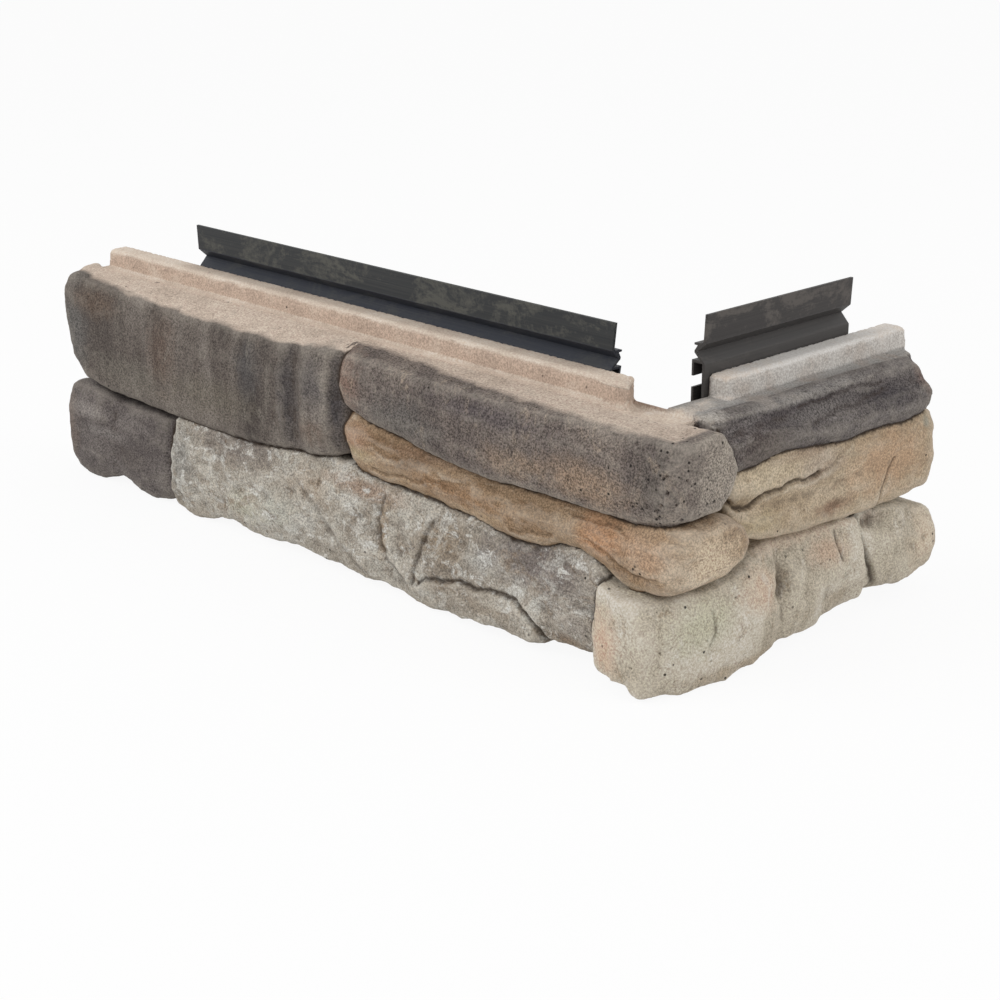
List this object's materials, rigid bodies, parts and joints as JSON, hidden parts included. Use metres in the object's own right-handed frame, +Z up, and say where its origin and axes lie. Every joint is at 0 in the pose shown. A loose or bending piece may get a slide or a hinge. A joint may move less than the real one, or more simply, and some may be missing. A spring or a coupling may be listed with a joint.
{
  "type": "stone cladding corner piece",
  "caption": "L-shaped outside corner of cast stone cladding: split-faced stones in courses on a concrete backing, with a ship-lap tongue and plastic fixing strips cast on behind.",
  "frame": {"origin": "foot of the wall's outside corner edge: the planes through the rear of the two fixing strips meet there, at the level of the casting's underside", "axes": "+Z up the wall's corner edge, +Y out of the back of the long leg into the wall, +X out through the face of the short leg; the long leg runs to -X and the short leg to +Y"},
  "size_m": [0.637, 0.287, 0.2104],
  "materials": {
    "cast_stone": "matt split-stone face in pigmented concrete",
    "strip_plastic": "dull black extrusion, dusty"
  },
  "bodies": {
    "root": {"stone_casting": "cast_stone", "long_mounting_strip": "strip_plastic", "short_mounting_strip": "strip_plastic"}
  },
  "joints": []
}
